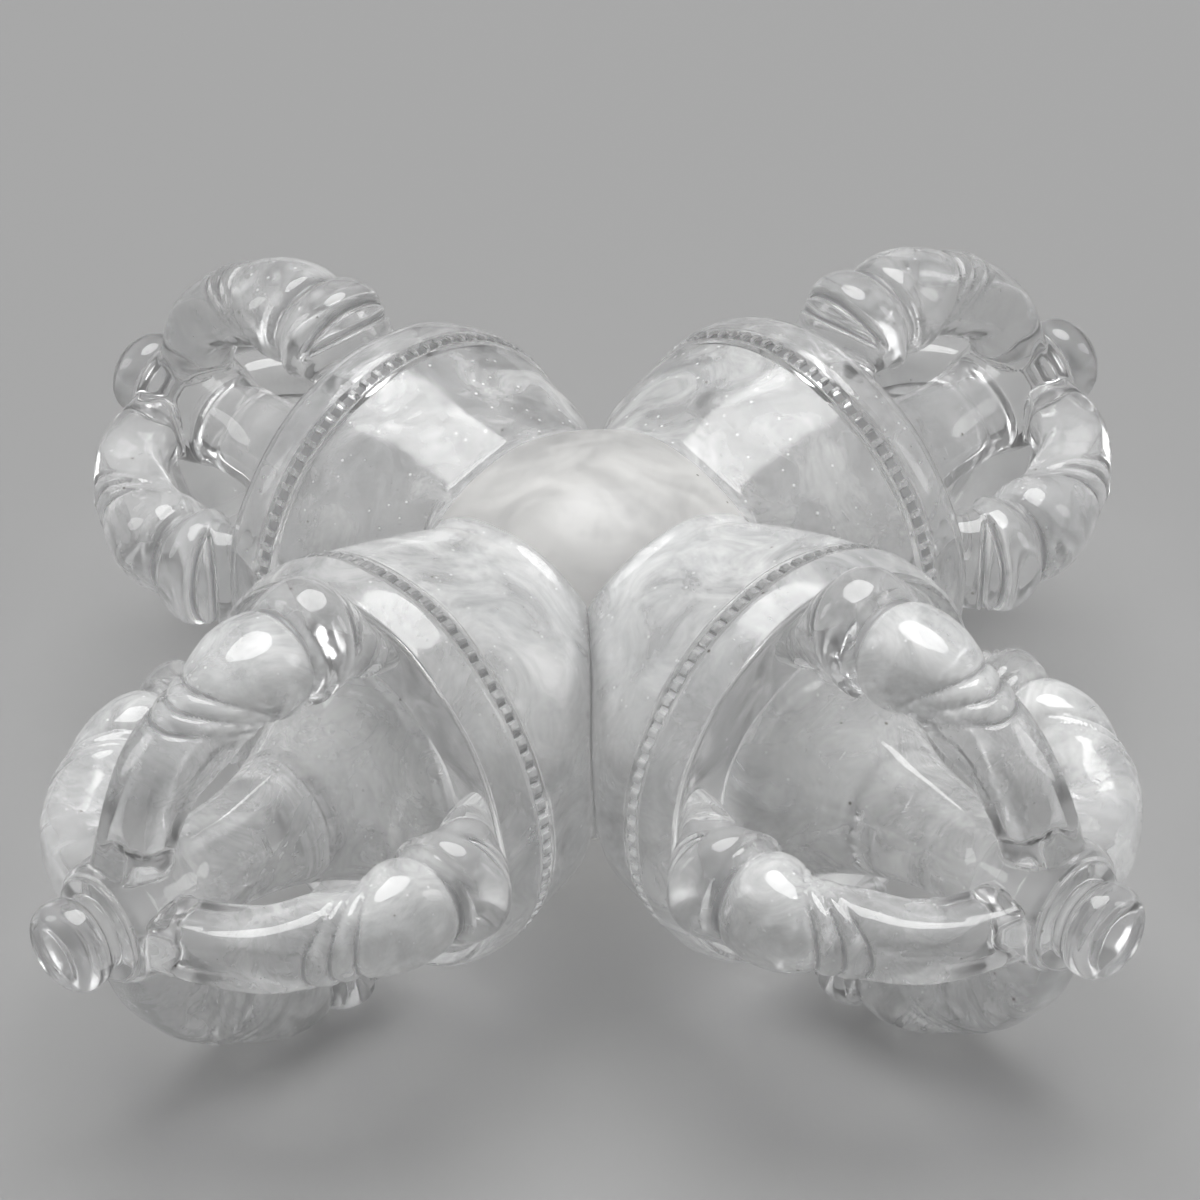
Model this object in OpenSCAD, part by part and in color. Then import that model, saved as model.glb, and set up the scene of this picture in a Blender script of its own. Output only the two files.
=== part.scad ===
// Crossed vajra carved in clear rock crystal: four like heads on a round hub.
// The heads lie along +X (east), +Y (north), -X (west) and -Y (south).
// The undersides of the four bottom prongs rest on z = 0.

/* [Hub] */
// Radius of the round hub where the four heads cross
hub_radius = 17.5; // [16.5:0.25:18.5]
// Depth of the flat cut into the hub's round for each bell
hub_flat_depth = 7.8; // [7.2:0.1:8.4]

/* [Bell] */
// Length of a bell along its head
bell_length = 12; // [11:0.2:15]
// How far a bell's rim stands out past the round of the hub
rim_rise = 0.2; // [0:0.1:1.5]
// How far a bell's side swells past the straight line from its seat to its rim
bell_bulge = 0.3; // [0.1:0.1:1]
// Width of the slit cut between two neighbouring bells
bell_gap = 0.6; // [0.3:0.1:1.2]

/* [Rim band] */
// Width of the plain line between the bell and the teeth
line_width = 0.4; // [0.3:0.1:1]
// Length of the teeth along the head
tooth_length = 1.3; // [0.8:0.1:3]
// Number of teeth round the band
tooth_count = 80; // [40:4:100]
// How far the teeth stand out past the rim
tooth_rise = 0.4; // [0.2:0.05:0.8]
// Depth of the cut between two teeth
tooth_depth = 0.5; // [0.2:0.05:1]
// Width of the cut between two teeth
tooth_gap = 0.4; // [0.2:0.05:0.7]

/* [Flange] */
// How far the flange stands out past the rim where it leaves the teeth
flange_rise = 0.6; // [0.2:0.1:1]
// Width of the flange along the head
flange_width = 3.8; // [3:0.1:6]
// Width of the lip round the dished face
lip_width = 1; // [0.4:0.1:1.4]
// How far the flange's side swells past a straight line
flange_swell = 0.15; // [0:0.05:0.4]
// Depth of the dished face that the prongs stand on
seat_recess = 0.6; // [0.2:0.1:1.5]

/* [Core spoke] */
// Radius of the spoke between the prongs
core_radius = 4.3; // [3.6:0.1:5]
// Length over which the spoke flares out to its foot
flare_length = 17; // [10:0.5:19]

/* [Prong path] */
// Distance from the head's axis to the middle of a prong's root
root_radius = 14.2; // [13.6:0.1:14.6]
// Distance from the head's axis to the middle of a prong at its crest
crest_radius = 16.4; // [15.8:0.1:18]
// Length of the neck from the root to the crest
neck_length = 7; // [6:0.1:9]
// Length of the full quarter arch from the crest towards the tip
arch_length = 18.2; // [16:0.1:22]
// Degrees of the quarter arch that the prong covers before it meets the tip cap
arch_angle = 74; // [66:1:78]
// Distance from the spoke's side to the middle of a prong's end
end_gap = 1.45; // [1.2:0.05:2]

/* [Prong section] */
// Half thickness and half width of the root
root_height = 2.3; // [2:0.1:2.6]
root_width = 4; // [3:0.1:4.6]
// Half thickness and half width of the knuckle that stands over the neck
knuckle_height = 5; // [4.2:0.1:5.2]
knuckle_width = 5; // [4:0.1:5.4]
// Half thickness and half width of the barrel beyond the knuckle
barrel_height = 4.4; // [4:0.05:5]
barrel_width = 4.7; // [4:0.05:5.4]
// Half thickness and half width of the shaft where it leaves the ring ribs
shaft_height = 3.5; // [3:0.05:4]
shaft_width = 3.6; // [3:0.05:4]
// Half thickness and half width of the shaft where it meets the tip cap
end_height = 3; // [2.5:0.05:3.2]
end_width = 2.85; // [2:0.05:3.2]
// Depth of the groove between the knuckle and the barrel
groove_depth = 0.4; // [0.2:0.05:1]
// Height of the two ring ribs between the barrel and the shaft
rib_height = 0.35; // [0.2:0.05:0.8]

/* [Tip] */
// How far the tip cap stands out past the corners of its prong seats
cap_shoulder = 0.2; // [0.1:0.05:0.5]
// Length of the tip cap's nose beyond the prongs
cap_nose = 0.9; // [0.6:0.1:3]
// Radius and length of the collar behind the knob
collar_radius = 4.7; // [4.2:0.1:5.5]
collar_length = 0.5; // [0.4:0.1:1.5]
// Radius and length of the neck between the collar and the bead
knob_neck_radius = 3.2; // [2.5:0.1:3.6]
knob_neck_length = 0.4; // [0.3:0.1:1.5]
// Radius, length and edge rounding of the knob's bead
bead_radius = 3.95; // [3.5:0.05:4.5]
bead_length = 4.3; // [4.2:0.1:6]
bead_round = 1.9; // [1:0.1:2]

/* [Rest] */
// Depth of the small flats ground under the four bottom prongs
rest_depth = 0.3; // [0.1:0.05:0.6]

/* [Hidden] */
// Clearance between a prong's root and the lip and spoke on either side of it
seat_clearance = 0.3;
// Number of sides of a prong's section
prong_sides = 14;
// Number of steps along the side of a bell
bell_steps = 12;
$fn = 96;

heads = [["east", 0], ["north", 90], ["west", 180], ["south", 270]];
prong_rolls = [["top", 0], ["right", 90], ["bottom", 180], ["left", 270]];

// Stations are distances from the hub's centre along a head's axis
bell_seat = hub_radius - hub_flat_depth;
rim_station = bell_seat + bell_length;
band_width = line_width + tooth_length;
flange_station = rim_station + band_width;
lip_station = flange_station + flange_width;
seat_station = lip_station - seat_recess;
crest_station = seat_station + neck_length;

// A size part of the way from one to another
function between(from, to, share) = from + (to - from) * share;

// The spoke's flare is an arc that ends parallel to the axis
function tangent_arc(rise, run) = (rise * rise + run * run) / (2 * rise);
rim_radius = hub_radius + rim_rise;
bell_seat_radius = sqrt(hub_radius * hub_radius - bell_seat * bell_seat);

flange_radius = rim_radius + flange_rise;
lip_radius = root_radius + root_height + seat_clearance;
lip_outer_radius = lip_radius + lip_width;
core_foot_radius = root_radius - root_height - seat_clearance;
core_flare_arc = tangent_arc(core_foot_radius - core_radius, flare_length);

// Middle of a prong's end face, and the angle between the prong there and the head's axis
end_station = crest_station + arch_length * sin(arch_angle);
end_radius = core_radius + end_gap;
arch_drop = (crest_radius - end_radius) / (1 - cos(arch_angle));
end_slant = atan2(arch_drop * sin(arch_angle), arch_length * cos(arch_angle));

// The prong's path. Place 0 is the root, 1 the crest and 2 the end.
function ease(t) = t * t * (3 - 2 * t);
function path_middle(place) = place < 1
    ? [root_radius + (crest_radius - root_radius) * ease(place), seat_station + neck_length * place]
    : [crest_radius - arch_drop * (1 - cos(arch_angle * (place - 1))),
       crest_station + arch_length * sin(arch_angle * (place - 1))];
function path_slope(place) = place < 1
    ? [(crest_radius - root_radius) * 6 * place * (1 - place), neck_length]
    : [-arch_drop * sin(arch_angle * (place - 1)), arch_length * cos(arch_angle * (place - 1))];
function path_direction(place) = path_slope(place) / norm(path_slope(place));

// Half thickness and half width of the prong at its places
root = [root_height, root_width];
knuckle = [knuckle_height, knuckle_width];
barrel = [barrel_height, barrel_width];
shaft = [shaft_height, shaft_width];
end = [end_height, end_width];
groove = barrel - [groove_depth, groove_depth];
rib = shaft + [rib_height, rib_height];
prong_sections = [
    [0, root], [0.1, between(root, knuckle, 0.06)], [0.2, between(root, knuckle, 0.3)],
    [0.36, between(root, knuckle, 0.6)], [0.55, between(root, knuckle, 0.88)], [0.7, knuckle],
    [0.84, knuckle], [0.94, between(knuckle, groove, 0.4)], [1, between(knuckle, groove, 0.9)],
    [1.03, groove], [1.07, between(groove, barrel, 0.5)], [1.14, barrel], [1.22, barrel],
    [1.3, between(barrel, shaft, 0.35)], [1.37, between(barrel, shaft, 0.8)],
    [1.39, shaft], [1.41, rib], [1.45, rib], [1.47, shaft], [1.49, rib], [1.53, rib], [1.55, shaft],
    [1.66, between(shaft, end, 0.2)], [1.77, between(shaft, end, 0.5)],
    [1.89, between(shaft, end, 0.8)], [2, end]
];
function outer_reach(section) = path_middle(section[0])[0] + section[1][0] * path_direction(section[0])[1];

// The tip cap starts where the four slanted prong seats close round the spoke
cap_foot_radius = core_radius + cap_shoulder;
cap_station = end_station - (end_radius - cap_foot_radius) * tan(end_slant);
cap_belly_radius = norm([end_radius, end_width]) + cap_shoulder;
cap_brow_station = end_station + end_height * sin(end_slant);
cap_brow_radius = end_radius + end_height * cos(end_slant);
collar_station = cap_brow_station + cap_nose;
core_length = cap_station - seat_station;

axis_height = max([for (section = prong_sections) outer_reach(section)]) - rest_depth;
overall_reach = collar_station + collar_length + knob_neck_length + bead_length;

crystal = [0.86, 0.87, 0.88];
milky_crystal = [0.80, 0.80, 0.79];

head_pieces = ["bell", "rim_band", "flange", "core_spoke", "tip_cap", "knob"];

// Lays a piece modelled along +Z, with +X outwards at the top, along one head
module on_head(heading) {
    translate([0, 0, axis_height])
        rotate([0, 0, heading])
            rotate([0, 90, 0])
                rotate([0, 0, 180])
                    children();
}

// The ball at the crossing, with a flat for each bell
module hub() {
    color(milky_crystal)
        translate([0, 0, axis_height])
            intersection() {
                sphere(r = hub_radius);
                cube([2 * bell_seat, 2 * bell_seat, 2 * hub_radius], center = true);
            }
}

// The dome that opens outwards to the rim, slit where it would run into the next one
module bell() {
    trim = overall_reach;
    side = [
        for (i = [0 : bell_steps])
            let (share = i / bell_steps)
            [between(bell_seat_radius, rim_radius, share) + 4 * bell_bulge * share * (1 - share),
             bell_length * share]
    ];
    color(crystal)
        intersection() {
            translate([0, 0, bell_seat])
                rotate_extrude() polygon(concat([[0, 0]], side, [[0, bell_length]]));
            translate([-hub_radius * 2, 0, bell_gap / sqrt(2)])
                rotate([0, 90, 0])
                    linear_extrude(hub_radius * 4)
                        polygon([[0, 0], [-trim, trim], [-trim, -trim]]);
        }
}

// A plain line and a ring of small square teeth round the bell's rim
module rim_band() {
    tip_radius = rim_radius + tooth_rise;
    cut_radius = tip_radius - tooth_depth;
    pitch = 360 / tooth_count;
    half_cut = asin(tooth_gap / 2 / tip_radius);
    outline = [
        for (i = [0 : tooth_count - 1])
            for (corner = [[cut_radius, half_cut], [tip_radius, half_cut],
                           [tip_radius, pitch - half_cut], [cut_radius, pitch - half_cut]])
                corner[0] * [cos(i * pitch + corner[1]), sin(i * pitch + corner[1])]
    ];
    color(crystal)
        translate([0, 0, rim_station]) {
            cylinder(r = rim_radius, h = line_width);
            translate([0, 0, line_width]) linear_extrude(tooth_length) polygon(outline);
        }
}

// The tapered flange whose dished face carries the spoke and the prongs
module flange() {
    middle_radius = between(flange_radius, lip_outer_radius, 0.5) + flange_swell;
    color(crystal)
        translate([0, 0, flange_station])
            rotate_extrude()
                polygon([
                    [0, 0], [flange_radius, 0], [middle_radius, flange_width / 2],
                    [lip_outer_radius, flange_width], [lip_radius, flange_width],
                    [lip_radius, flange_width - seat_recess], [0, flange_width - seat_recess]
                ]);
}

// The middle spoke, flared like a trumpet where it stands on the flange
module core_spoke() {
    color(crystal)
        translate([0, 0, seat_station])
            rotate_extrude() {
                square([core_radius, core_length]);
                difference() {
                    square([core_foot_radius, flare_length]);
                    translate([core_radius + core_flare_arc, flare_length]) circle(r = core_flare_arc);
                }
            }
}

// A ring of points round the path at one of those places
function path_ring(section) =
    let (middle = path_middle(section[0]), along = path_direction(section[0]))
    [for (i = [0 : prong_sides - 1])
        let (
            out = section[1][0] * cos(360 * i / prong_sides),
            side = section[1][1] * sin(360 * i / prong_sides)
        )
        [middle[0] + out * along[1], side, middle[1] - out * along[0]]];

// One curved prong: neck, knuckle, groove, barrel, two ring ribs and a tapering shaft
module prong() {
    rings = len(prong_sections);
    points = [for (section = prong_sections) each path_ring(section)];
    skin = [
        for (i = [0 : rings - 2])
            for (j = [0 : prong_sides - 1])
                let (
                    a = i * prong_sides + j,
                    b = i * prong_sides + (j + 1) % prong_sides,
                    c = b + prong_sides,
                    d = a + prong_sides
                )
                each [[a, d, c], [a, c, b]]
    ];
    root_face = [for (j = [0 : prong_sides - 1]) j];
    end_face = [for (j = [1 : prong_sides]) rings * prong_sides - j];
    color(crystal) polyhedron(points = points, faces = concat(skin, [root_face, end_face]));
}

// A prong in its place, with the underside of a bottom prong ground flat
module placed_prong(heading, roll) {
    ground = 2 * overall_reach;
    difference() {
        on_head(heading) rotate([0, 0, roll]) prong();
        translate([-ground / 2, -ground / 2, -ground]) cube(ground);
    }
}

// The cap that closes the tip, with a slanted seat for the end of each prong
module tip_cap() {
    seat_cut = 4 * cap_brow_radius;
    color(crystal)
        difference() {
            rotate_extrude()
                polygon([
                    [0, cap_station], [cap_foot_radius, cap_station], [cap_belly_radius, end_station],
                    [cap_brow_radius, cap_brow_station], [collar_radius, collar_station], [0, collar_station]
                ]);
            for (roll = prong_rolls)
                rotate([0, 0, roll[1]])
                    translate([end_radius, 0, end_station])
                        rotate([0, -end_slant, 0])
                            translate([-seat_cut / 2, -seat_cut / 2, -seat_cut]) cube(seat_cut);
        }
}

// A collar, a thin neck and a rounded bead at the end of the head
module knob() {
    bead_station = collar_length + knob_neck_length;
    color(crystal)
        translate([0, 0, collar_station])
            rotate_extrude() {
                square([collar_radius, collar_length]);
                square([knob_neck_radius, bead_station + bead_length / 2]);
                translate([0, bead_station]) {
                    square([bead_radius - bead_round, bead_length]);
                    translate([0, bead_round]) square([bead_radius, bead_length - 2 * bead_round]);
                    for (edge = [bead_round, bead_length - bead_round])
                        translate([bead_radius - bead_round, edge]) circle(r = bead_round);
                }
            }
}

hub();
for (head = heads) {
    on_head(head[1]) bell();
    on_head(head[1]) rim_band();
    on_head(head[1]) flange();
    on_head(head[1]) core_spoke();
    on_head(head[1]) tip_cap();
    on_head(head[1]) knob();
    for (roll = prong_rolls)
        placed_prong(head[1], roll[1]);
}
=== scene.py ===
import math

import bmesh
import bpy
from mathutils import Matrix, Quaternion, Vector, noise


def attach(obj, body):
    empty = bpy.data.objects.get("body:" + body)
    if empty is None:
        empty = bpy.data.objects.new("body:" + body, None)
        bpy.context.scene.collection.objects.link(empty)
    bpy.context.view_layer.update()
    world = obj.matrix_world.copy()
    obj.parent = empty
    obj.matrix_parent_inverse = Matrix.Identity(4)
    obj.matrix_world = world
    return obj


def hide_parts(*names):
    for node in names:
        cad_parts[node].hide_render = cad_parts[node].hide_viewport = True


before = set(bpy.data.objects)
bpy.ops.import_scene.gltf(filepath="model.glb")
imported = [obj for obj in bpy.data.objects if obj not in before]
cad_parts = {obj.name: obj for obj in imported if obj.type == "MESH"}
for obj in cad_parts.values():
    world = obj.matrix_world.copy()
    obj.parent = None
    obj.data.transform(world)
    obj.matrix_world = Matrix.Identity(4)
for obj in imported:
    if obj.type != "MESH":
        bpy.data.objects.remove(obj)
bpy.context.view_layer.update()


# Hub: the ball where the two vajras cross, with a flat for each of the four bells.
# Milky rock crystal, ground round by hand and left satin. It is one stone with the heads, so the
# faces where two pieces meet are left invisible and light runs on from one piece into the next.
MM = 0.001
AXIS_HEIGHT = 20.796
HUB_RADIUS = 17.5
HUB_HALF_WIDTH = 9.0
HUB_SEGMENTS = 180
HUB_PLACE = Matrix.Translation((0, 0, AXIS_HEIGHT))
CREASE = math.radians(38)
STONE_FACE = 0
JOINT_FACE = 1
QUARTZ_IOR = 1.544
RIPPLE_HEIGHT = 0.03
POLISH_WAVE = 8.0
POLISH_SWAY = 0.26
CHATTER_WAVE = 3.0
CHATTER_SWAY = 0.03
GRINDING_SEED = 3
SPECK_COLOUR = (0.16, 0.14, 0.12, 1)
# Dark grey painted into the carved lines, the nick floors and the slits between bells: painted shade in the
# cuts, which are also left matte
PAINTED_CUT_SHADE = (0.34, 0.34, 0.35, 1)

# Where a mix node has its two colours and the mixed one among its sockets
FIRST_COLOUR = 6
SECOND_COLOUR = 7
MIXED_COLOUR = 2

noise.seed_set(GRINDING_SEED)


def hand_ground(point):
    """Where a point of the true form ends up when it is ground and polished by hand."""
    sway = noise.noise_vector(point / POLISH_WAVE) * POLISH_SWAY
    chatter = noise.noise_vector(point / CHATTER_WAVE) * CHATTER_SWAY
    ground = point + sway + chatter
    ground.z = max(ground.z, 0.0)
    return ground


def join(tree, socket, source):
    """Links a socket to another node's output, or sets it to a plain value."""
    if isinstance(source, bpy.types.NodeSocket):
        tree.links.new(source, socket)
    else:
        socket.default_value = source


def feed(tree, node, **sources):
    """Joins a node's sockets by name; an underscore in a name stands for a space."""
    for name, source in sources.items():
        join(tree, node.inputs[name.replace("_", " ")], source)
    return node


def feed_in_order(tree, node, *sources):
    """Joins a node's sockets from the first one on."""
    for socket, source in zip(node.inputs, sources):
        join(tree, socket, source)
    return node


def add_node(tree, kind, **sources):
    """A new node with its sockets joined by name."""
    return feed(tree, tree.nodes.new(kind), **sources)


def object_place(tree):
    """The place on an object that a pattern is drawn from."""
    return tree.nodes.new("ShaderNodeTexCoord").outputs["Object"]


def corner_value(tree, name):
    """The value that a mesh keeps at its corners under a name."""
    node = tree.nodes.new("ShaderNodeAttribute")
    node.attribute_name = name
    return node.outputs["Fac"]


def stretched(tree, value, low, high, bottom=0, top=1):
    """A value that runs from bottom to top while its source runs from low to high."""
    node = add_node(tree, "ShaderNodeMapRange", Value=value, From_Min=low, From_Max=high, To_Min=bottom,
                    To_Max=top)
    return node.outputs["Result"]


def worked_out(tree, operation, *terms):
    """The outcome of one step of arithmetic on values and outputs."""
    node = tree.nodes.new("ShaderNodeMath")
    node.operation = operation
    return feed_in_order(tree, node, *terms).outputs["Value"]


def mixed(tree, share, first, second):
    """A colour that turns from the first into the second as the share grows."""
    node = tree.nodes.new("ShaderNodeMix")
    node.data_type = "RGBA"
    feed(tree, node, Factor=share)
    join(tree, node.inputs[FIRST_COLOUR], first)
    join(tree, node.inputs[SECOND_COLOUR], second)
    return node.outputs[MIXED_COLOUR]


def quartz_surface_group():
    """Veils, specks, polishing marks and matte cuts of carved quartz, as colour, roughness and height. The
    cuts are also painted darker grey, as painted shade.
    """
    group = bpy.data.node_groups.new("quartz_surface", "ShaderNodeTree")
    sockets = group.interface
    sockets.new_socket("Clear Colour", in_out="INPUT", socket_type="NodeSocketColor")
    sockets.new_socket("Veil Colour", in_out="INPUT", socket_type="NodeSocketColor")
    sockets.new_socket("Veil Amount", in_out="INPUT", socket_type="NodeSocketFloat")
    sockets.new_socket("Polish Roughness", in_out="INPUT", socket_type="NodeSocketFloat")
    sockets.new_socket("Colour", in_out="OUTPUT", socket_type="NodeSocketColor")
    sockets.new_socket("Roughness", in_out="OUTPUT", socket_type="NodeSocketFloat")
    sockets.new_socket("Height", in_out="OUTPUT", socket_type="NodeSocketFloat")
    given = group.nodes.new("NodeGroupInput").outputs
    result = group.nodes.new("NodeGroupOutput")
    place = object_place(group)

    veil = add_node(group, "ShaderNodeTexNoise", Vector=place, Scale=75, Detail=3, Distortion=1.8)
    veil_share = stretched(group, veil.outputs["Fac"], low=0.45, high=0.72)
    veil_share = worked_out(group, "MULTIPLY", veil_share, given["Veil Amount"])
    veiled = mixed(group, veil_share, given["Clear Colour"], given["Veil Colour"])
    speck = add_node(group, "ShaderNodeTexVoronoi", Vector=place, Scale=260)
    speck_share = stretched(group, speck.outputs["Distance"], low=0.045, high=0.03)
    speckled = mixed(group, speck_share, veiled, SPECK_COLOUR)
    # Where a cut runs, the colour turns to a painted shade of dark grey and the roughness rises, so the cuts
    # read as matte and shaded
    carved = corner_value(group, "carved")
    feed(group, result, Colour=mixed(group, carved, speckled, PAINTED_CUT_SHADE))

    scratch_place = add_node(group, "ShaderNodeMapping", Vector=place, Rotation=(0.4, 0.9, 0.6),
                             Scale=(300, 2600, 2600)).outputs["Vector"]
    scratch = add_node(group, "ShaderNodeTexNoise", Vector=scratch_place, Scale=1, Detail=2)
    scratch_share = stretched(group, scratch.outputs["Fac"], low=0.6, high=0.75)
    dull = worked_out(group, "MULTIPLY_ADD", veil_share, 0.20, given["Polish Roughness"])
    scuffed = worked_out(group, "MULTIPLY_ADD", scratch_share, 0.06, dull)
    feed(group, result, Roughness=worked_out(group, "MULTIPLY_ADD", carved, 0.3, scuffed))
    ripple = add_node(group, "ShaderNodeTexNoise", Vector=place, Scale=420, Detail=3)
    feed(group, result, Height=worked_out(group, "MULTIPLY_ADD", scratch_share, -0.1, ripple.outputs["Fac"]))
    return group


quartz_surface = quartz_surface_group()


def new_material(name):
    """A plain material with its nodes switched on."""
    material = bpy.data.materials.new(name)
    material.use_nodes = True
    return material


def dress(material, **sources):
    """Feeds the main shader of a material."""
    feed(material.node_tree, material.node_tree.nodes["Principled BSDF"], **sources)


def let_light_through(material, shade):
    """Shows a material to the eye, but lets the lamps' light pass on with a tint, as clear stone does."""
    tree = material.node_tree
    path = tree.nodes.new("ShaderNodeLightPath")
    passing = add_node(tree, "ShaderNodeBsdfTransparent", Color=shade)
    either = feed_in_order(tree, tree.nodes.new("ShaderNodeMixShader"), path.outputs["Is Shadow Ray"],
                           tree.nodes["Principled BSDF"].outputs["BSDF"], passing.outputs["BSDF"])
    feed(tree, tree.nodes["Material Output"], Surface=either.outputs["Shader"])


def quartz(name, clear, veil, veil_amount, roughness, transmission, shade):
    """Rock crystal with its veils, specks and polish; the shade is the tint of light that passes it."""
    material = new_material(name)
    tree = material.node_tree
    surface = tree.nodes.new("ShaderNodeGroup")
    surface.node_tree = quartz_surface
    feed(tree, surface, Clear_Colour=clear, Veil_Colour=veil, Veil_Amount=veil_amount,
         Polish_Roughness=roughness)
    bump = add_node(tree, "ShaderNodeBump", Strength=0.5, Distance=RIPPLE_HEIGHT * MM,
                    Height=surface.outputs["Height"])
    dress(material, IOR=QUARTZ_IOR, Transmission_Weight=transmission, Base_Color=surface.outputs["Colour"],
          Roughness=surface.outputs["Roughness"], Normal=bump.outputs["Normal"])
    let_light_through(material, shade)
    return material


milky_quartz = quartz("milky_quartz", clear=(0.86, 0.85, 0.83, 1), veil=(0.54, 0.535, 0.53, 1),
                      veil_amount=0.8, roughness=0.34, transmission=0.70, shade=(0.66, 0.66, 0.66, 1))
joint_face = new_material("stone_joint")
dress(joint_face, Alpha=0)


def rim_edges(shape):
    """The edges round every opening of a shape."""
    return [edge for edge in shape.edges if edge.is_boundary]


def fill_joints(shape):
    """Closes every opening of a shape with a face that light passes straight through."""
    for face in bmesh.ops.holes_fill(shape, edges=rim_edges(shape), sides=0)["faces"]:
        face.material_index = JOINT_FACE


def cut_flat(shape, point, away):
    """Cuts off what lies beyond a plane and closes the cut with a joint face."""
    bmesh.ops.bisect_plane(shape, geom=shape.verts[:] + shape.edges[:] + shape.faces[:], plane_co=point,
                           plane_no=away, clear_outer=True)
    fill_joints(shape)


def finish_stone(name, shape, place, stone, node):
    """Puts a closed shape in its place, grinds it as a hand does and makes it a piece of the object."""
    bmesh.ops.transform(shape, matrix=place, verts=shape.verts)
    for corner in shape.verts:
        corner.co = hand_ground(corner.co) * MM
    bmesh.ops.recalc_face_normals(shape, faces=shape.faces)
    for face in shape.faces:
        face.smooth = face.material_index == STONE_FACE
    for edge in shape.edges:
        edge.smooth = edge.is_manifold and edge.calc_face_angle() < CREASE
    mesh = bpy.data.meshes.new(name)
    shape.to_mesh(mesh)
    shape.free()
    mesh.materials.append(stone)
    mesh.materials.append(joint_face)
    piece = bpy.data.objects.new(name, mesh)
    bpy.context.scene.collection.objects.link(piece)
    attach(piece, "root")
    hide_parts(node)
    return piece


def hub_shape(inset):
    """The ball with its four flats, or a like shape that lies a little inside its round."""
    shape = bmesh.new()
    bmesh.ops.create_uvsphere(shape, u_segments=HUB_SEGMENTS, v_segments=HUB_SEGMENTS // 2,
                              radius=HUB_RADIUS - inset)
    for side in (Vector((1, 0, 0)), Vector((0, 1, 0)), Vector((-1, 0, 0)), Vector((0, -1, 0))):
        cut_flat(shape, side * HUB_HALF_WIDTH, side)
    return shape


finish_stone("hub_ball", hub_shape(0), HUB_PLACE, milky_quartz, "hub")


# Bells: the domes that open from the hub to the rim of each head, with a soft slit between neighbours, along
# which a thin dark line of painted shade runs.
# Rock crystal ground to a gentle curve; the two in front are left satin, the two behind are polished clear.
HEADINGS = {"east": 0, "north": 90, "west": 180, "south": 270}
VALLEY_RADIUS = 2.0
VALLEY_CENTRE = (16.72, 10.03)
RIM_RADIUS = 17.7
RIM_STATION = 21.7
BELL_BULGE = 0.3
SLIT_BLEND = 3.0
SLIT_RUN = 1.5
SLIT_OVERLAP = 0.08
SLIT_SHADE_WIDTH = 0.12
SEAM = 0.14
TURN_STEPS = 256
TINY = 0.001

satin_quartz = quartz("satin_quartz", clear=(0.97, 0.97, 0.97, 1), veil=(0.74, 0.75, 0.76, 1),
                      veil_amount=0.7, roughness=0.12, transmission=0.80, shade=(0.72, 0.72, 0.72, 1))
clear_quartz = quartz("clear_quartz", clear=(0.98, 0.98, 0.98, 1), veil=(0.80, 0.81, 0.82, 1),
                      veil_amount=0.6, roughness=0.10, transmission=0.93, shade=(0.78, 0.78, 0.78, 1))
BELL_STONE = {"east": satin_quartz, "north": clear_quartz, "west": clear_quartz, "south": satin_quartz}


def on_head(heading):
    """Lays a shape made along +Z, with +X outwards at the top, along one head."""
    turn = Matrix.Rotation(math.radians(heading), 4, "Z")
    lay = Matrix.Rotation(math.radians(90), 4, "Y") @ Matrix.Rotation(math.radians(180), 4, "Z")
    return Matrix.Translation((0, 0, AXIS_HEIGHT)) @ turn @ lay


def arc(centre, radius, start, end, steps):
    """Points (distance from the axis, station) along an arc, with angles in degrees."""
    angles = [math.radians(start + (end - start) * i / steps) for i in range(steps + 1)]
    return [(centre[0] + radius * math.cos(a), centre[1] + radius * math.sin(a)) for a in angles]


def swelling(start, end, bulge, steps):
    """Points (distance from the axis, station) along a line that swells in its middle, after its start."""
    points = []
    for i in range(1, steps + 1):
        share = i / steps
        radius = start[0] + (end[0] - start[0]) * share + 4 * bulge * share * (1 - share)
        points.append((radius, start[1] + (end[1] - start[1]) * share))
    return points


def turned(profile, steps):
    """The shape that a profile makes when it is turned round the head's axis."""
    shape = bmesh.new()
    points = [shape.verts.new((radius, 0, station)) for radius, station in profile]
    lines = [shape.edges.new(pair) for pair in zip(points, points[1:])]
    bmesh.ops.spin(shape, geom=points + lines, cent=(0, 0, 0), axis=(0, 0, 1), angle=math.tau, steps=steps,
                   use_merge=True)
    bmesh.ops.remove_doubles(shape, verts=shape.verts, dist=TINY)
    return shape


def ease(share):
    """A share from 0 to 1 that starts and stops gently."""
    share = min(max(share, 0), 1)
    return share * share * (3 - 2 * share)


def soft_limit(value, limit, blend):
    """The smaller of a value and its limit, with a rounded turn from one to the other."""
    overlap = max(blend - abs(value - limit), 0)
    return min(value, limit) - overlap ** 2 / (4 * max(blend, TINY))


bell_profile = arc(VALLEY_CENTRE, VALLEY_RADIUS, start=211, end=165, steps=12)
bell_profile += swelling(bell_profile[-1], (RIM_RADIUS, RIM_STATION - SEAM), BELL_BULGE, steps=40)
bell_profile += [(RIM_RADIUS - SEAM, RIM_STATION)]


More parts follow.
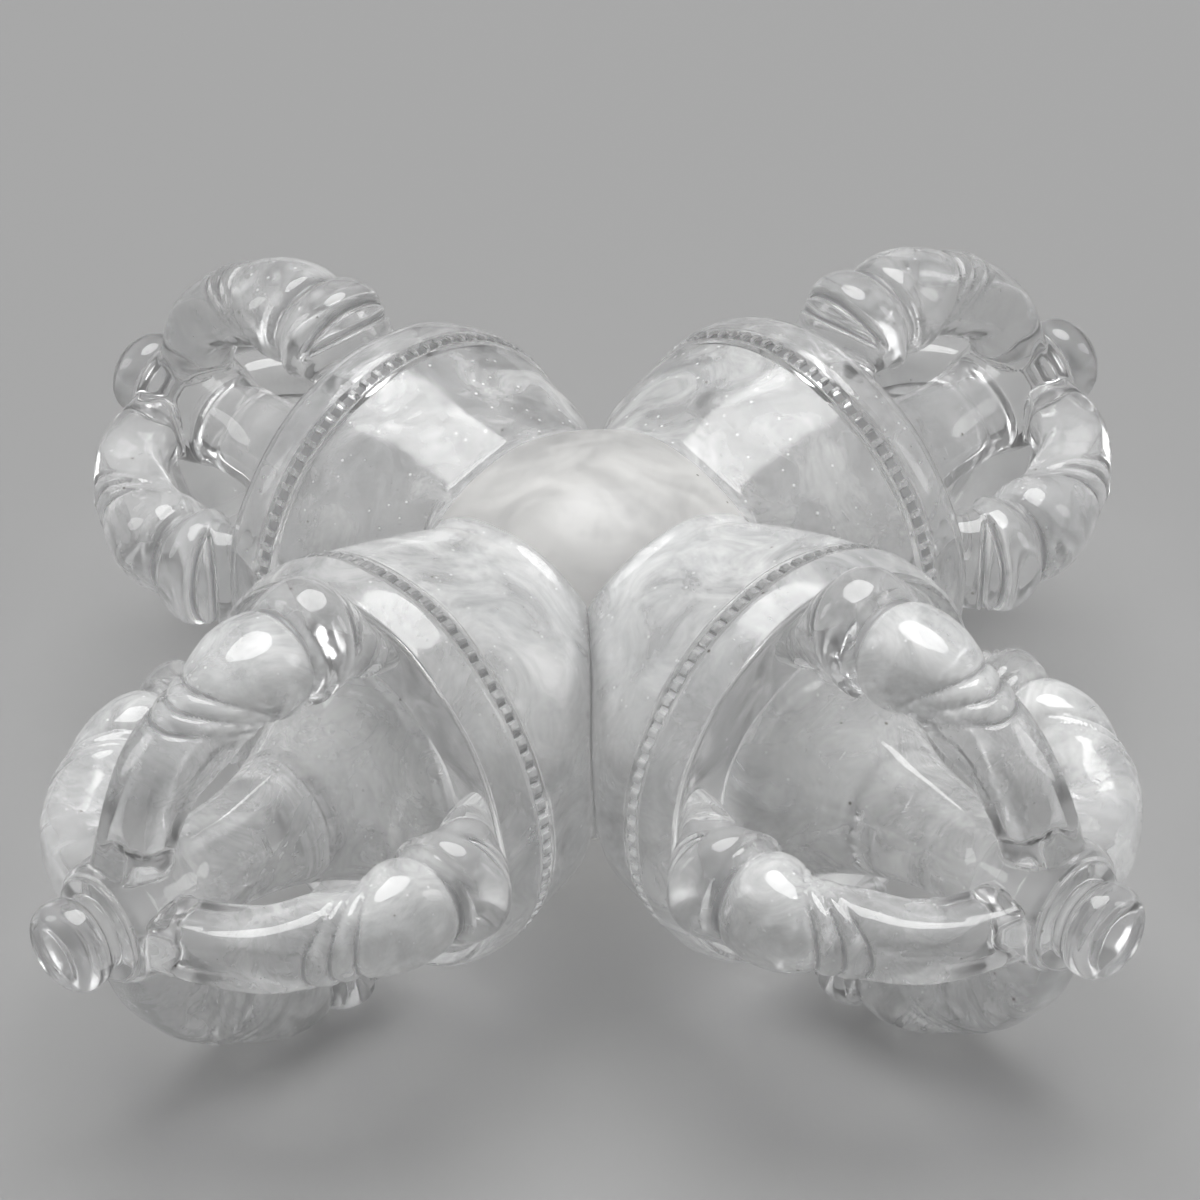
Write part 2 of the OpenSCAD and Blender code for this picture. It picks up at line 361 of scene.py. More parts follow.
def bell_shape(inset):
    """A bell with its two slits, or a like shape that lies a little inside its skin."""
    shape = turned([(radius - inset, station) for radius, station in bell_profile], TURN_STEPS)
    carved = shape.verts.layers.float.new("carved")
    for corner in shape.verts:
        station = corner.co.z
        blend = SLIT_BLEND * ease((station - HUB_HALF_WIDTH) / SLIT_RUN)
        reach = soft_limit(abs(corner.co.y), station + SLIT_OVERLAP - inset, blend)
        corner.co.y = math.copysign(reach, corner.co.y)
        # A thin strip along the slit gets painted shade, a darker grey colour, and a matte finish through
        # the cut mask
        corner[carved] = ease(1 - (station - reach) / SLIT_SHADE_WIDTH)
    fill_joints(shape)
    for side in (1, -1):
        cut_flat(shape, (0, 0, 0), (0, side, -1))
    return shape


for name, heading in HEADINGS.items():
    finish_stone(f"bell_dome_{name}", bell_shape(0), on_head(heading), BELL_STONE[name],
                 f"bell_{name}")


# Rim bands: a fine raised line and a ring of small square teeth round each bell's rim.
# Cut in the same crystal with a thin wheel, one nick at a time, so no two nicks are quite alike.
TOOTH_COUNT = 80
TOOTH_STEPS = 8
LADDER_NICK = (1, 1, 1, 1, 1, 0, 0, 0)
SAW_NICK = (0, 1, 0.8, 0.5, 0.2, 0, 0, 0)
NICK_SHAPE = {"east": SAW_NICK, "north": LADDER_NICK, "west": LADDER_NICK, "south": SAW_NICK}
NICK_SWAY = 0.10
NICK_STRIDE = 1.7
# How far the floor of a nick is left matte and painted darker grey as painted shade
NICK_MATTE_AND_SHADE = 0.8
TOOTH_TOP = 18.15
TOOTH_FLOOR = 17.72
TOOTH_CORNER = 0.1
LINE_STATION = RIM_STATION + 0.32
LINE_HALF_WIDTH = 0.2
LINE_TOP = 17.96
TOOTH_STATION = RIM_STATION + 0.66
BAND_END = 23.4

band_profile = [(RIM_RADIUS - SEAM, RIM_STATION)]
band_profile += arc((LINE_TOP - LINE_HALF_WIDTH, LINE_STATION), LINE_HALF_WIDTH, start=-90, end=90, steps=8)
band_profile += [
    (TOOTH_FLOOR - SEAM, TOOTH_STATION),
    (TOOTH_TOP - TOOTH_CORNER, TOOTH_STATION + TOOTH_CORNER / 2),
    (TOOTH_TOP, TOOTH_STATION + 2 * TOOTH_CORNER),
    (TOOTH_TOP, BAND_END - TOOTH_CORNER),
    (TOOTH_FLOOR - SEAM, BAND_END),
]
for name, heading in HEADINGS.items():
    band = turned(band_profile, TOOTH_COUNT * TOOTH_STEPS)
    carved = band.verts.layers.float.new("carved")
    for corner in band.verts:
        step = round(math.atan2(corner.co.y, corner.co.x) / math.tau * TOOTH_COUNT * TOOTH_STEPS)
        if corner.co.z > TOOTH_STATION - TINY:
            nick = NICK_SHAPE[name][step % TOOTH_STEPS]
            floor_change = NICK_SWAY * noise.noise(Vector((step // TOOTH_STEPS * NICK_STRIDE, heading, 0)))
            depth = (TOOTH_TOP - TOOTH_FLOOR - floor_change) * nick
            corner.co.xy *= min(1, (TOOTH_TOP - depth) / corner.co.xy.length)
            # The nick floors get the cut mask: a matte finish and painted shade
            corner[carved] = NICK_MATTE_AND_SHADE * nick
    fill_joints(band)
    finish_stone(f"rim_teeth_{name}", band, on_head(heading), BELL_STONE[name],
                 f"rim_band_{name}")


# Flanges: the plain tapered ring beyond the teeth, with a dished face that the prongs grow from.
# Ground in the same crystal; its lip is rounded over by hand.
FLANGE_RADIUS = 18.3
FLANGE_SWELL = 0.15
FLANGE_STEPS = 12
LIP_OUTER_RADIUS = 17.8
LIP_RADIUS = 16.8
LIP_ROUND = 0.4
LIP_STATION = 27.2
SEAT_STATION = 26.6
SEAT_ROUND = 0.15
CORE_FOOT_RADIUS = 11.6
ROOT_RADIUS = 14.2
ROOT_HEIGHT = 2.35
ROOT_WIDTH = 5.2
PRONG_SIDES = 64
ROLLS = {"top": 0, "right": 90, "bottom": 180, "left": 270}

lip_level = LIP_STATION - LIP_ROUND
flange_profile = [(TOOTH_FLOOR - SEAM, BAND_END), (FLANGE_RADIUS - SEAM, BAND_END + SEAM / 2)]
flange_profile += swelling((FLANGE_RADIUS, BAND_END + 2 * SEAM), (LIP_OUTER_RADIUS, lip_level), FLANGE_SWELL,
                           FLANGE_STEPS)
flange_profile += arc((LIP_OUTER_RADIUS - LIP_ROUND, lip_level), LIP_ROUND, start=15, end=90, steps=6)
flange_profile += arc((LIP_RADIUS + LIP_ROUND, lip_level), LIP_ROUND, start=90, end=180, steps=6)
flange_profile += arc((LIP_RADIUS - SEAT_ROUND, SEAT_STATION + SEAT_ROUND), SEAT_ROUND, start=0, end=-90,
                      steps=3)


def loop_edges(shape, corners):
    """The edges of a ring of corners."""
    ring = set(corners)
    return [edge for edge in shape.edges if ring.issuperset(edge.verts)]


for name, heading in HEADINGS.items():
    flange = turned(flange_profile, TURN_STEPS)
    seat_rim = [corner for corner in flange.verts
                if abs(corner.co.z - SEAT_STATION) < TINY and corner.co.xy.length < LIP_RADIUS]
    seat_edges = loop_edges(flange, seat_rim)
    foot = bmesh.ops.create_circle(flange, segments=TURN_STEPS, radius=CORE_FOOT_RADIUS,
                                   matrix=Matrix.Translation((0, 0, SEAT_STATION)))["verts"]
    seat_edges += loop_edges(flange, foot)
    for roll in ROLLS.values():
        root_place = Matrix.Rotation(math.radians(roll), 4, "Z")
        root_place @= Matrix.Translation((ROOT_RADIUS, 0, SEAT_STATION))
        root_place @= Matrix.Diagonal((ROOT_HEIGHT, ROOT_WIDTH, 1, 1))
        root = bmesh.ops.create_circle(flange, segments=PRONG_SIDES, radius=1, matrix=root_place)["verts"]
        seat_edges += loop_edges(flange, root)
    bmesh.ops.triangle_fill(flange, edges=seat_edges, use_beauty=True, normal=(0, 0, 1))
    fill_joints(flange)
    finish_stone(f"flange_ring_{name}", flange, on_head(heading), BELL_STONE[name],
                 f"flange_{name}")


# Core spokes: the middle spoke inside each cage, flared like a trumpet where it leaves the dish.
# The same crystal, cut through the windows between the prongs and polished.
CORE_RADIUS = 4.3
FLARE_LENGTH = 17.0
CAP_STATION = 47.57
CAP_FOOT_RADIUS = 4.55
CAP_RUN = 2.0
CAP_HOLLOW = -0.06

polished_quartz = quartz("polished_quartz", clear=(0.98, 0.98, 0.98, 1), veil=(0.78, 0.79, 0.80, 1),
                         veil_amount=0.6, roughness=0.05, transmission=0.91, shade=(0.76, 0.76, 0.76, 1))

flare_rise = CORE_FOOT_RADIUS - CORE_RADIUS
flare_arc = (flare_rise ** 2 + FLARE_LENGTH ** 2) / (2 * flare_rise)
flare_start = math.degrees(math.asin(FLARE_LENGTH / flare_arc))
core_profile = arc((CORE_RADIUS + flare_arc, SEAT_STATION + FLARE_LENGTH), flare_arc,
                   start=180 + flare_start, end=180, steps=40)
core_profile += swelling((CORE_RADIUS, CAP_STATION - CAP_RUN), (CAP_FOOT_RADIUS, CAP_STATION), CAP_HOLLOW,
                         steps=8)
for name, heading in HEADINGS.items():
    core = turned(core_profile, TURN_STEPS)
    fill_joints(core)
    finish_stone(f"core_{name}", core, on_head(heading), polished_quartz,
                 f"core_spoke_{name}")


# Prongs: four round each head, each with a neck, a knuckle with an ear and a leaf-shaped cut, a barrel and a
# squarer shaft that curves in to the tip. Carved in the round from the same crystal. The lines between these
# forms are cut with a small wheel and run together on the side that faces the spoke; they and the leaf cut
# are left matte and get painted shade, a darker grey.
CREST_RADIUS = 16.4
NECK_LENGTH = 7.0
CREST_STATION = SEAT_STATION + NECK_LENGTH
ARCH_LENGTH = 18.2
ARCH_ANGLE = math.radians(74)
END_RADIUS = 5.75
ARCH_DROP = (CREST_RADIUS - END_RADIUS) / (1 - math.cos(ARCH_ANGLE))
PRONG_RINGS = 280
FAN_PLACE = 1.08
FORM_SQUEEZE = 0.55
LINE_SQUEEZE = 0.35
LINE_INNER_SHARE = 0.25
EAR_PLACE = 0.74
EAR_LENGTH = 0.13
EAR_RISE = 0.35
EAR_FOCUS = 4
SQUARE_START = 1.5
SQUARE_END = 1.75
SQUARENESS = 1.1

# Place along the prong (0 root, 1 crest, 2 end), half thickness and half width
PLAN = [
    (0, ROOT_HEIGHT, ROOT_WIDTH), (0.05, 2.4, 4.8), (0.10, 2.6, 4.5), (0.20, 3.3, 4.4), (0.36, 4.0, 4.55),
    (0.55, 4.65, 4.9), (0.70, 5.0, 5.05), (0.84, 5.0, 5.0), (0.94, 4.65, 4.75), (1.01, 4.15, 4.4),
    (1.05, 4.1, 4.35), (1.14, 4.4, 4.7), (1.22, 4.4, 4.7), (1.30, 4.15, 4.3), (1.38, 3.75, 3.8),
    (1.50, 3.75, 3.75), (1.57, 3.55, 3.6), (1.77, 3.3, 3.25), (2, 3.0, 2.85),
]
# Place, depth and half width of each carved line
LINES = [(1.03, 0.58, 0.024), (1.385, 0.44, 0.014), (1.47, 0.40, 0.013), (1.55, 0.26, 0.013)]
# The leaf-shaped cut: its middle, half opening, reach round the prong, fade to its points, line and depth
LEAF_PLACE = 0.54
LEAF_OPENING = 0.10
LEAF_REACH = math.radians(80)
LEAF_FADE = 3
LEAF_LINE = 0.034
LEAF_DEPTH = 0.36
# How hazy a prong is at its neck, what the shaft and the barrel add, and where the haze grows and ends
NECK_HAZE = 0.25
SHAFT_HAZE = 0.30
BARREL_HAZE = 0.45
BARREL_PLACE = 1.18
BARREL_LENGTH = 0.18
SHAFT_HAZE_START = 0.9
HAZE_END = 1.95
HAZE_RUN = 0.2


def prong_size(place):
    """Half thickness and half width of a prong, drawn smoothly through the plan."""
    last = len(PLAN) - 1
    i = max(k for k in range(last) if PLAN[k][0] <= place)
    span = PLAN[i + 1][0] - PLAN[i][0]
    share = (place - PLAN[i][0]) / span
    rest = 1 - share
    sizes = []
    for column in (1, 2):
        slopes = []
        for k in (i, i + 1):
            before, after = PLAN[max(k - 1, 0)], PLAN[min(k + 1, last)]
            slopes.append((after[column] - before[column]) / (after[0] - before[0]))
        level = PLAN[i][column] * (1 + 2 * share) * rest ** 2
        level += PLAN[i + 1][column] * share ** 2 * (3 - 2 * share)
        sizes.append(level + span * share * rest * (slopes[0] * rest - slopes[1] * share))
    return sizes


def prong_path(place):
    """Middle of a prong and its unit direction, as (distance from the axis, station)."""
    if place < 1:
        rise = CREST_RADIUS - ROOT_RADIUS
        middle = Vector((ROOT_RADIUS + rise * ease(place), SEAT_STATION + NECK_LENGTH * place))
        along = Vector((rise * 6 * place * (1 - place), NECK_LENGTH))
    else:
        swing = ARCH_ANGLE * (place - 1)
        middle = Vector((CREST_RADIUS - ARCH_DROP * (1 - math.cos(swing)),
                         CREST_STATION + ARCH_LENGTH * math.sin(swing)))
        along = Vector((-ARCH_DROP * math.sin(swing), ARCH_LENGTH * math.cos(swing)))
    return middle, along.normalized()


def fanned(place, outer, squeeze):
    """The place on the outer side that a carved form comes from, when it runs round to the inner side."""
    spread = squeeze + (1 - squeeze) * outer
    return min(max(FAN_PLACE + (place - FAN_PLACE) / spread, 0), 2)


def ridge(distance, half_width):
    """Height of a rounded ridge at a distance from its crest, from 1 down to 0."""
    return math.exp(-(distance / half_width) ** 2)


def prong_point(place, angle, inset):
    """A point on a prong's skin or inside it, and how much of the cut lines' matte and painted shade it
    gets; angle 0 is away from the spoke.
    """
    middle, along = prong_path(place)
    outer = (1 + math.cos(angle)) / 2
    form_place = fanned(place, outer, FORM_SQUEEZE)
    line_place = fanned(place, outer, LINE_SQUEEZE)
    half_height, half_width = prong_size(form_place)
    lift = EAR_RISE * ridge(form_place - EAR_PLACE, EAR_LENGTH) * outer ** EAR_FOCUS - inset
    # The cut mask marks the carved lines and the leaf cut, where the surface turns matte and gets painted
    # shade
    carved = 0
    for line, depth, line_width in LINES:
        cut = (LINE_INNER_SHARE + (1 - LINE_INNER_SHARE) * outer) * ridge(line_place - line, line_width)
        carved = max(carved, cut)
        lift -= depth * cut
    leaf = max(1 - (angle / LEAF_REACH) ** 2, 0)
    for opening in (-LEAF_OPENING, LEAF_OPENING):
        cut = ease(LEAF_FADE * leaf) * ridge(form_place - LEAF_PLACE - opening * leaf, LEAF_LINE)
        carved = max(carved, cut)
        lift -= LEAF_DEPTH * cut
    power = 1 / (1 + SQUARENESS / 2 * ease((form_place - SQUARE_START) / (SQUARE_END - SQUARE_START)))
    out = (half_height + lift) * math.copysign(abs(math.cos(angle)) ** power, math.cos(angle))
    side = (half_width + lift) * math.copysign(abs(math.sin(angle)) ** power, math.sin(angle))
    return Vector((middle.x + out * along.y, side, middle.y - out * along.x)), carved ** 2


def haze_at(place):
    """How hazy the stone is along a prong: clear at the neck, whitest at the barrel, none at both ends."""
    share = NECK_HAZE + SHAFT_HAZE * ease((place - SHAFT_HAZE_START) / HAZE_RUN)
    share += BARREL_HAZE * ridge(place - BARREL_PLACE, BARREL_LENGTH)
    return share * ease(place / HAZE_RUN) * ease((HAZE_END - place) / HAZE_RUN)


def prong_skin(start, end, rings, inset):
    """An open tube along a prong from one place to another, on its skin or a little inside it."""
    shape = bmesh.new()
    round_angle = shape.verts.layers.float.new("round_angle")
    carved = shape.verts.layers.float.new("carved")
    haze = shape.verts.layers.float.new("haze")
    ring = bmesh.ops.create_circle(shape, segments=PRONG_SIDES, radius=1)["verts"]
    for corner in ring:
        corner[round_angle] = math.atan2(corner.co.y, corner.co.x)
        corner[haze] = haze_at(start)
        corner.co, corner[carved] = prong_point(start, corner[round_angle], inset)
    ring_edges = shape.edges[:]
    for step in range(1, rings + 1):
        place = start + (end - start) * step / rings
        grown = bmesh.ops.extrude_edge_only(shape, edges=ring_edges)["geom"]
        for corner in [part for part in grown if isinstance(part, bmesh.types.BMVert)]:
            corner[haze] = haze_at(place)
            corner.co, corner[carved] = prong_point(place, corner[round_angle], inset)
        ring_edges = [part for part in grown if isinstance(part, bmesh.types.BMEdge)]
    return shape


def on_side(heading, roll):
    """Lays a prong along one head and rolls it to its side of the spoke."""
    return on_head(heading) @ Matrix.Rotation(math.radians(roll), 4, "Z")


prong = prong_skin(0, 2, PRONG_RINGS, 0)
fill_joints(prong)
for name, heading in HEADINGS.items():
    for side, roll in ROLLS.items():
        finish_stone(f"prong_{side}_of_{name}", prong.copy(), on_side(heading, roll), polished_quartz,
                     f"prong_{name}_{side}")
prong.free()


# Tip caps: where the four prongs run together round the end of the spoke.
# The same crystal, worked down from the four prong ends to a collar with shallow valleys between.
END_STATION = CREST_STATION + ARCH_LENGTH * math.sin(ARCH_ANGLE)
END_SLANT = math.atan2(ARCH_DROP * math.sin(ARCH_ANGLE), ARCH_LENGTH * math.cos(ARCH_ANGLE))
COLLAR_STATION = 54.82
COLLAR_RADIUS = 4.7
NOSE_STEPS = 96
STUB_START = 1.86
STUB_END = 2.30
STUB_RINGS = 24
CAP_GRAIN = 0.13
SMOOTH_PASSES = 10

# Distance from the axis and station of the turned middle that the four prong ends run into
NOSE = [
    (0, CAP_STATION - 1), (4.3, CAP_STATION - 1), (4.6, CAP_STATION), (5.2, END_STATION),
    (5.6, END_STATION + 1.6), (5.3, COLLAR_STATION - 0.5), (COLLAR_RADIUS - 0.2, COLLAR_STATION + 0.6),
    (0, COLLAR_STATION + 0.6),
]

cap = bmesh.new()
nose = turned(NOSE, NOSE_STEPS)
cap_mesh = bpy.data.meshes.new("cap_form")
nose.to_mesh(cap_mesh)
nose.free()
cap.from_mesh(cap_mesh)
for roll in ROLLS.values():
    stub = prong_skin(STUB_START, STUB_END, STUB_RINGS, 0)
    bmesh.ops.holes_fill(stub, edges=rim_edges(stub), sides=0)
    turn = Matrix.Rotation(math.radians(roll), 3, "Z")
    bmesh.ops.rotate(stub, cent=(0, 0, 0), matrix=turn, verts=stub.verts)
    bmesh.ops.recalc_face_normals(stub, faces=stub.faces)
    stub.to_mesh(cap_mesh)
    stub.free()
    cap.from_mesh(cap_mesh)
bmesh.ops.recalc_face_normals(cap, faces=cap.faces)
cap.to_mesh(cap_mesh)
cap.free()
cap_form = bpy.data.objects.new("cap_form", cap_mesh)
bpy.context.scene.collection.objects.link(cap_form)
melt = cap_form.modifiers.new("melt", "REMESH")
melt.mode = "VOXEL"
melt.voxel_size = CAP_GRAIN
bpy.context.view_layer.update()
cap = bmesh.new()
cap.from_object(cap_form, bpy.context.evaluated_depsgraph_get())
bpy.data.objects.remove(cap_form)
for _ in range(SMOOTH_PASSES):
    bmesh.ops.smooth_vert(cap, verts=cap.verts, factor=0.5, use_axis_x=True, use_axis_y=True,
                          use_axis_z=True)
cut_flat(cap, (0, 0, CAP_STATION), (0, 0, -1))
cut_flat(cap, (0, 0, COLLAR_STATION), (0, 0, 1))
for roll in ROLLS.values():
    turn = Matrix.Rotation(math.radians(roll), 3, "Z")
    cut_flat(cap, turn @ Vector((END_RADIUS, 0, END_STATION)),
             turn @ Vector((math.sin(END_SLANT), 0, -math.cos(END_SLANT))))
for name, heading in HEADINGS.items():
    finish_stone(f"tip_{name}", cap.copy(), on_head(heading), polished_quartz,
                 f"tip_cap_{name}")
cap.free()


# Knobs: a collar, a thin neck and a bead with a slightly flattened end on each head.
# The same crystal, rounded by hand and polished as bright as the prongs.
BEAD_RADIUS = 3.95
BEAD_ROUND = 1.9
BEAD_START = 55.72
BEAD_END = 60.02
BEAD_FLAT = 1.15
BEAD_SWELL = 0.05
NECK_RADIUS = 3.2
NECK_ROUND = 0.3
NECK_STATION = COLLAR_STATION + 0.85
RING_ROUND = 0.25
RING_STATION = COLLAR_STATION + 0.3
KNOB_STEPS = 128

bead_middle = BEAD_RADIUS - BEAD_ROUND
knob_profile = [(COLLAR_RADIUS - SEAM, COLLAR_STATION)]
knob_profile += arc((COLLAR_RADIUS - RING_ROUND, RING_STATION), RING_ROUND, start=-60, end=90, steps=8)
knob_profile += arc((NECK_RADIUS + NECK_ROUND, NECK_STATION), NECK_ROUND, start=270, end=180, steps=5)
knob_profile += arc((bead_middle, BEAD_START + BEAD_ROUND), BEAD_ROUND, start=-50, end=0, steps=10)
knob_profile += arc((bead_middle, BEAD_END - BEAD_ROUND), BEAD_ROUND, start=0, end=84, steps=16)
knob_profile += [(BEAD_FLAT, BEAD_END), (0, BEAD_END + BEAD_SWELL)]
for name, heading in HEADINGS.items():
    knob = turned(knob_profile, KNOB_STEPS)
    fill_joints(knob)
    finish_stone(f"bead_{name}", knob, on_head(heading), polished_quartz, f"knob_{name}")


# Haze: clouds and streaks of tiny bubbles close under the skin of the stone, thick in the hub and the two
# front heads and thin in the two behind. Each is a film a little inside its own piece, white where the
# bubbles are dense and clear in between.
HAZE_DEPTH = 0.35
HAZE_SHADE = (0.88, 0.88, 0.88, 1)
THIN_HAZE_COLOUR = (0.82, 0.83, 0.84, 1)
DENSE_HAZE_COLOUR = (0.97, 0.97, 0.96, 1)
HAZE_RINGS = 110
PRONG_HAZE_START = 0.04
PRONG_HAZE_END = 1.97
FULL_HAZE = 1
FLANGE_HAZE = 0.7
CORE_HAZE = 0.6


def haze_film(name, thinnest, thickest):
    """A white film of bubbles that comes and goes over its surface between two densities."""
    material = new_material(name)
    tree = material.node_tree
    place = object_place(tree)
    cloud = add_node(tree, "ShaderNodeTexNoise", Vector=place, Scale=140, Detail=6, Roughness=0.62,
                     Distortion=1.6)
    cloud_share = cloud.outputs["Fac"]
    density = stretched(tree, cloud_share, low=0.34, high=0.72, bottom=thinnest, top=thickest)
    bubble = add_node(tree, "ShaderNodeTexVoronoi", Vector=place, Scale=800)
    bubble_share = stretched(tree, bubble.outputs["Distance"], low=0.16, high=0.08, top=0.9)
    dusted = worked_out(tree, "MAXIMUM", density, bubble_share)
    dress(material, Roughness=0.7, Base_Color=mixed(tree, cloud_share, THIN_HAZE_COLOUR, DENSE_HAZE_COLOUR),
          Alpha=worked_out(tree, "MULTIPLY", dusted, corner_value(tree, "haze")))
    let_light_through(material, HAZE_SHADE)
    return material


milky_haze = haze_film("milky_haze", thinnest=0.30, thickest=1)
thick_haze = haze_film("thick_haze", thinnest=0.18, thickest=0.95)
thin_haze = haze_film("thin_haze", thinnest=0, thickest=0.60)
HAZE = {"east": thick_haze, "north": thin_haze, "west": thin_haze, "south": thick_haze}


def evenly_hazy(shape, share):
    """Gives a whole film the same share of haze."""
    haze = shape.verts.layers.float.new("haze")
    for corner in shape.verts:
        corner[haze] = share
    return shape


hub_haze = evenly_hazy(hub_shape(HAZE_DEPTH), FULL_HAZE)
finish_stone("hub_haze", hub_haze, HUB_PLACE, milky_haze, "hub")
flange_haze_profile = swelling((FLANGE_RADIUS - HAZE_DEPTH, BAND_END + SEAM),
                               (LIP_OUTER_RADIUS - HAZE_DEPTH, lip_level), FLANGE_SWELL, FLANGE_STEPS)
core_haze_profile = [(radius - HAZE_DEPTH, station) for radius, station in core_profile]
prong_haze = prong_skin(PRONG_HAZE_START, PRONG_HAZE_END, HAZE_RINGS, HAZE_DEPTH)
fill_joints(prong_haze)
for name, heading in HEADINGS.items():
    bell_haze = evenly_hazy(bell_shape(HAZE_DEPTH), FULL_HAZE)
    finish_stone(f"bell_haze_{name}", bell_haze, on_head(heading), HAZE[name],
                 f"bell_{name}")
    flange_haze = evenly_hazy(turned(flange_haze_profile, TURN_STEPS), FLANGE_HAZE)
    fill_joints(flange_haze)
    finish_stone(f"flange_haze_{name}", flange_haze, on_head(heading), HAZE[name],
                 f"flange_{name}")
    core_haze = evenly_hazy(turned(core_haze_profile, TURN_STEPS), CORE_HAZE)
    fill_joints(core_haze)
    finish_stone(f"core_haze_{name}", core_haze, on_head(heading), HAZE[name],
                 f"core_spoke_{name}")
    for side, roll in ROLLS.items():
        finish_stone(f"prong_haze_{side}_of_{name}", prong_haze.copy(), on_side(heading, roll), HAZE[name],
                     f"prong_{name}_{side}")
prong_haze.free()


# Veils: healed cracks inside the hub, the bells and the feet of the spokes, seen through the polished stone.
# Each is a film of tiny bubbles that catches the light as a white wisp and fades out at its edge.
VEIL_COLOUR = (0.90, 0.90, 0.90, 1)
VEIL_HALF_THICKNESS = 0.02
VEIL_WAVE = 5.0
VEIL_SWAY = 1.4
VEIL_WAVE_START = Vector((0.3, 0.7, 0.4))
VEIL_TIP = math.radians(40)
VEIL_TIP_STEP = math.radians(35)
VEIL_SEGMENTS = 40
GOLDEN_TURN = math.radians(137.5)
HUB_VEILS = 5
BELL_VEILS = 3
CORE_VEILS = 2

veil_film = new_material("veil_film")
veil_tree = veil_film.node_tree
wisp = add_node(veil_tree, "ShaderNodeTexNoise", Vector=object_place(veil_tree), Scale=240, Detail=5,
                Distortion=2.2)
wisp_share = stretched(veil_tree, wisp.outputs["Fac"], low=0.44, high=0.78, top=0.85)
dress(veil_film, Base_Color=VEIL_COLOUR, Roughness=0.6,
      Alpha=worked_out(veil_tree, "MULTIPLY", wisp_share, corner_value(veil_tree, "inner_share")))


def veil(name, node, slot, place, turn, half_length, half_width):
    """A wavy film inside the stone of a node; its turn in the set gives it waves of its own."""
    film = bmesh.new()
    share = film.verts.layers.float.new("inner_share")
    bmesh.ops.create_uvsphere(film, u_segments=VEIL_SEGMENTS, v_segments=VEIL_SEGMENTS // 2, radius=1)
    for corner in film.verts:
        corner[share] = 1 - corner.co.xy.length_squared
        corner.co *= Vector((half_length, half_width, VEIL_HALF_THICKNESS))
        wave_place = Vector((corner.co.x, corner.co.y, turn * VEIL_WAVE)) / VEIL_WAVE + VEIL_WAVE_START
        corner.co.z += VEIL_SWAY * noise.noise(wave_place)
    finish_stone(name, film, place, veil_film, node)


def veil_place_at(turn, distance, station):
    """A spot round an axis, turned and tipped a little further for each veil of a set."""
    swing = Matrix.Rotation(turn * GOLDEN_TURN, 4, "Z") @ Matrix.Translation((distance, 0, station))
    return swing @ Matrix.Rotation(VEIL_TIP + turn * VEIL_TIP_STEP, 4, "Y")


for count in range(HUB_VEILS):
    spot = HUB_PLACE @ veil_place_at(count, distance=3.5, station=9 - 3 * count)
    veil(f"hub_veil_{count}", "hub", "milky_crystal", spot, count, half_length=6.5, half_width=4.0)
for name, heading in HEADINGS.items():
    for count in range(BELL_VEILS):
        turn = count + heading // 90
        spot = on_head(heading) @ veil_place_at(turn, distance=8.0, station=16.0)
        veil(f"bell_veil_{count}_{name}", f"bell_{name}", "clear_crystal", spot, turn, half_length=4.2,
             half_width=6.0)
    for count in range(CORE_VEILS):
        turn = count + heading // 90
        spot = on_head(heading) @ veil_place_at(turn, distance=1.2, station=32 + 7 * count)
        veil(f"core_veil_{count}_{name}", f"core_spoke_{name}", "clear_crystal", spot, turn, half_length=3.4,
             half_width=2.0)


# Floor: a plain pale sheet that the four bottom prongs rest on.
# Matt and the same all over, so that nothing but the stone draws the eye.
FLOOR_HALF_SIZE = 3.0
FLOOR_COLOUR = (0.40, 0.40, 0.40, 1)

floor_shape = bmesh.new()
bmesh.ops.create_grid(floor_shape, x_segments=1, y_segments=1, size=FLOOR_HALF_SIZE)
floor_mesh = bpy.data.meshes.new("floor")
floor_shape.to_mesh(floor_mesh)
floor_shape.free()
floor = bpy.data.objects.new("floor", floor_mesh)
bpy.context.scene.collection.objects.link(floor)
pale_sheet = new_material("pale_sheet")
dress(pale_sheet, Base_Color=FLOOR_COLOUR, Roughness=0.7)
floor_mesh.materials.append(pale_sheet)


# Light: one wide soft box above and behind, and a narrower one at each side, in a dim grey room.
# The boxes are round, so that their reflections in the polished stone have no corners.
ROOM_COLOUR = (0.015, 0.015, 0.015, 1)
AIM = Vector((0, 0, 0.02))
TOP_BOX_SIZE = (1.14, 1.14)
TOP_BOX_POWER = 19.5
SIDE_BOX_SIZE = (0.48, 1.02)
SIDE_BOX_POWER = 3.0

world = bpy.data.worlds.new("grey_room")
world.use_nodes = True
feed(world.node_tree, world.node_tree.nodes["Background"], Color=ROOM_COLOUR)
bpy.context.scene.world = world


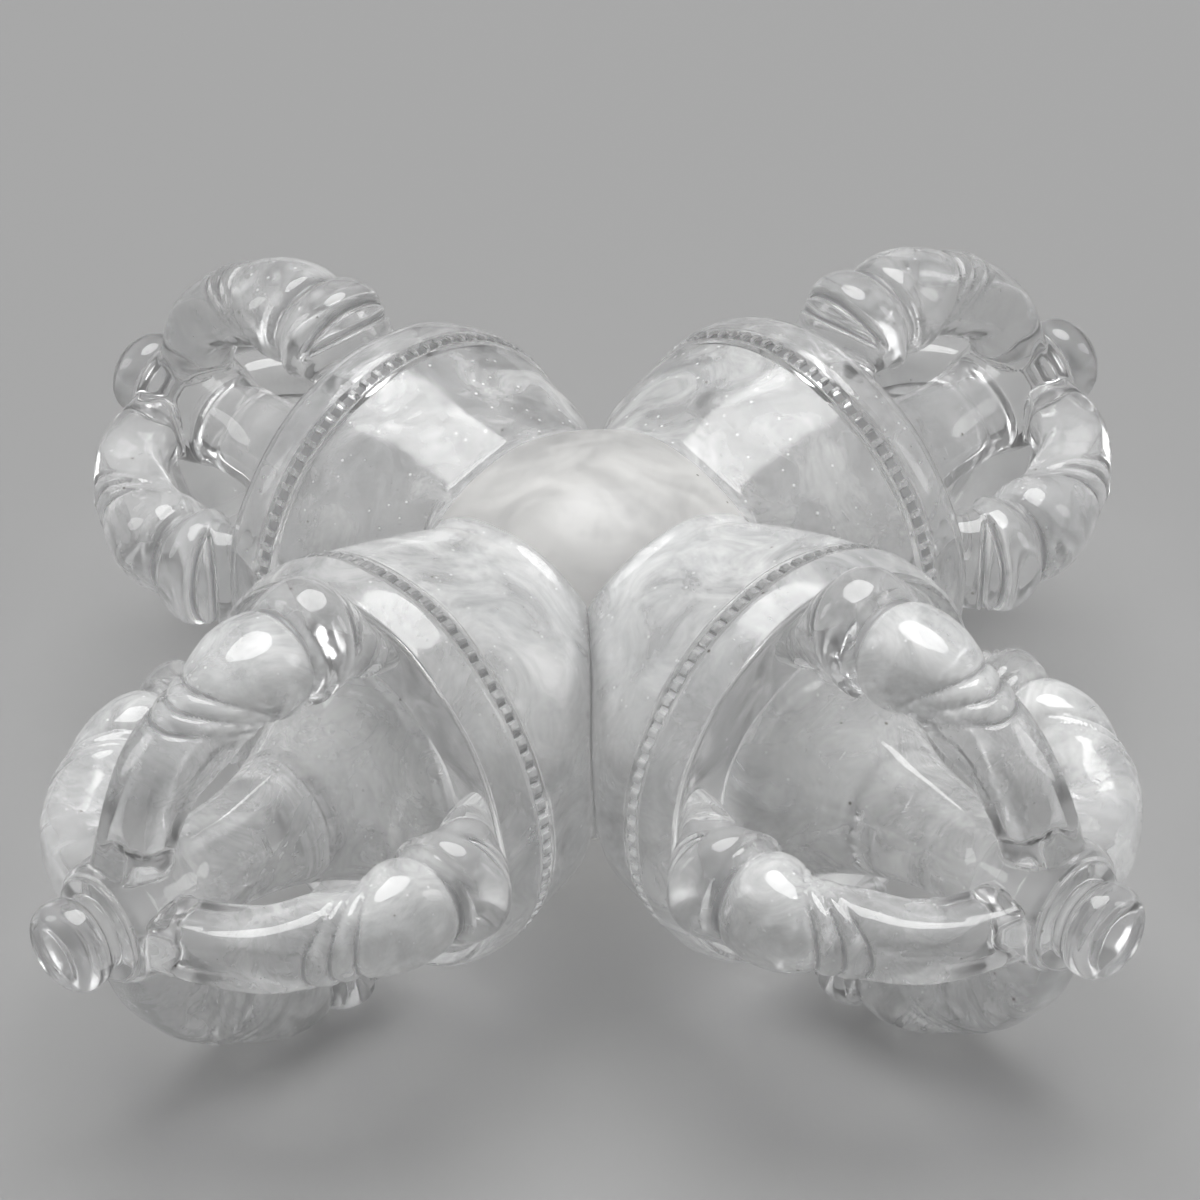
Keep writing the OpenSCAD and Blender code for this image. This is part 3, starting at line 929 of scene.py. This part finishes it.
def soft_box(name, place, size, power):
    """A round or oval lamp that faces the object."""
    lamp = bpy.data.lights.new(name, "AREA")
    lamp.shape = "ELLIPSE"
    lamp.size, lamp.size_y = size
    lamp.energy = power
    light = bpy.data.objects.new(name, lamp)
    light.location = place
    light.rotation_mode = "QUATERNION"
    light.rotation_quaternion = (AIM - Vector(place)).to_track_quat("-Z", "Y")
    bpy.context.scene.collection.objects.link(light)


soft_box("top_box", (-0.24, 0.30, 1.38), TOP_BOX_SIZE, TOP_BOX_POWER)
soft_box("left_box", (-1.26, -0.90, 0.78), SIDE_BOX_SIZE, SIDE_BOX_POWER)
soft_box("right_box", (1.02, 1.20, 0.78), SIDE_BOX_SIZE, SIDE_BOX_POWER)


# Camera: the photograph's view, from between the east and south heads and above.
# A long lens, fitted to the outline of the object. Light may cross many faces of the clear stone on its way.
AZIMUTH = math.radians(47.305)
ELEVATION = math.radians(35.916)
ROLL = math.radians(-2.211)
DISTANCE = 0.5145
LENS = 181.8
SENSOR_WIDTH = 36
SHIFT_RIGHT = 0.00355
SHIFT_UP = 0.0293
NEAREST = 0.01
FARTHEST = 20

level_back = Vector((math.sin(AZIMUTH), -math.cos(AZIMUTH), 0))
back = level_back * math.cos(ELEVATION) + Vector((0, 0, math.sin(ELEVATION)))
camera_data = bpy.data.cameras.new("camera")
camera_data.lens = LENS
camera_data.sensor_width = SENSOR_WIDTH
camera_data.shift_x = SHIFT_RIGHT
camera_data.shift_y = SHIFT_UP
camera_data.clip_start = NEAREST
camera_data.clip_end = FARTHEST
camera = bpy.data.objects.new("camera", camera_data)
camera.location = Vector((0, 0, AXIS_HEIGHT * MM)) + back * DISTANCE
camera.rotation_mode = "QUATERNION"
camera.rotation_quaternion = (-back).to_track_quat("-Z", "Y") @ Quaternion((0, 0, 1), ROLL)
bpy.context.scene.collection.objects.link(camera)

scene = bpy.context.scene
scene.camera = camera
scene.view_settings.view_transform = "Standard"
scene.cycles.max_bounces = 10
scene.cycles.transmission_bounces = 10
scene.cycles.glossy_bounces = 4
scene.cycles.diffuse_bounces = 2
scene.cycles.transparent_max_bounces = 40
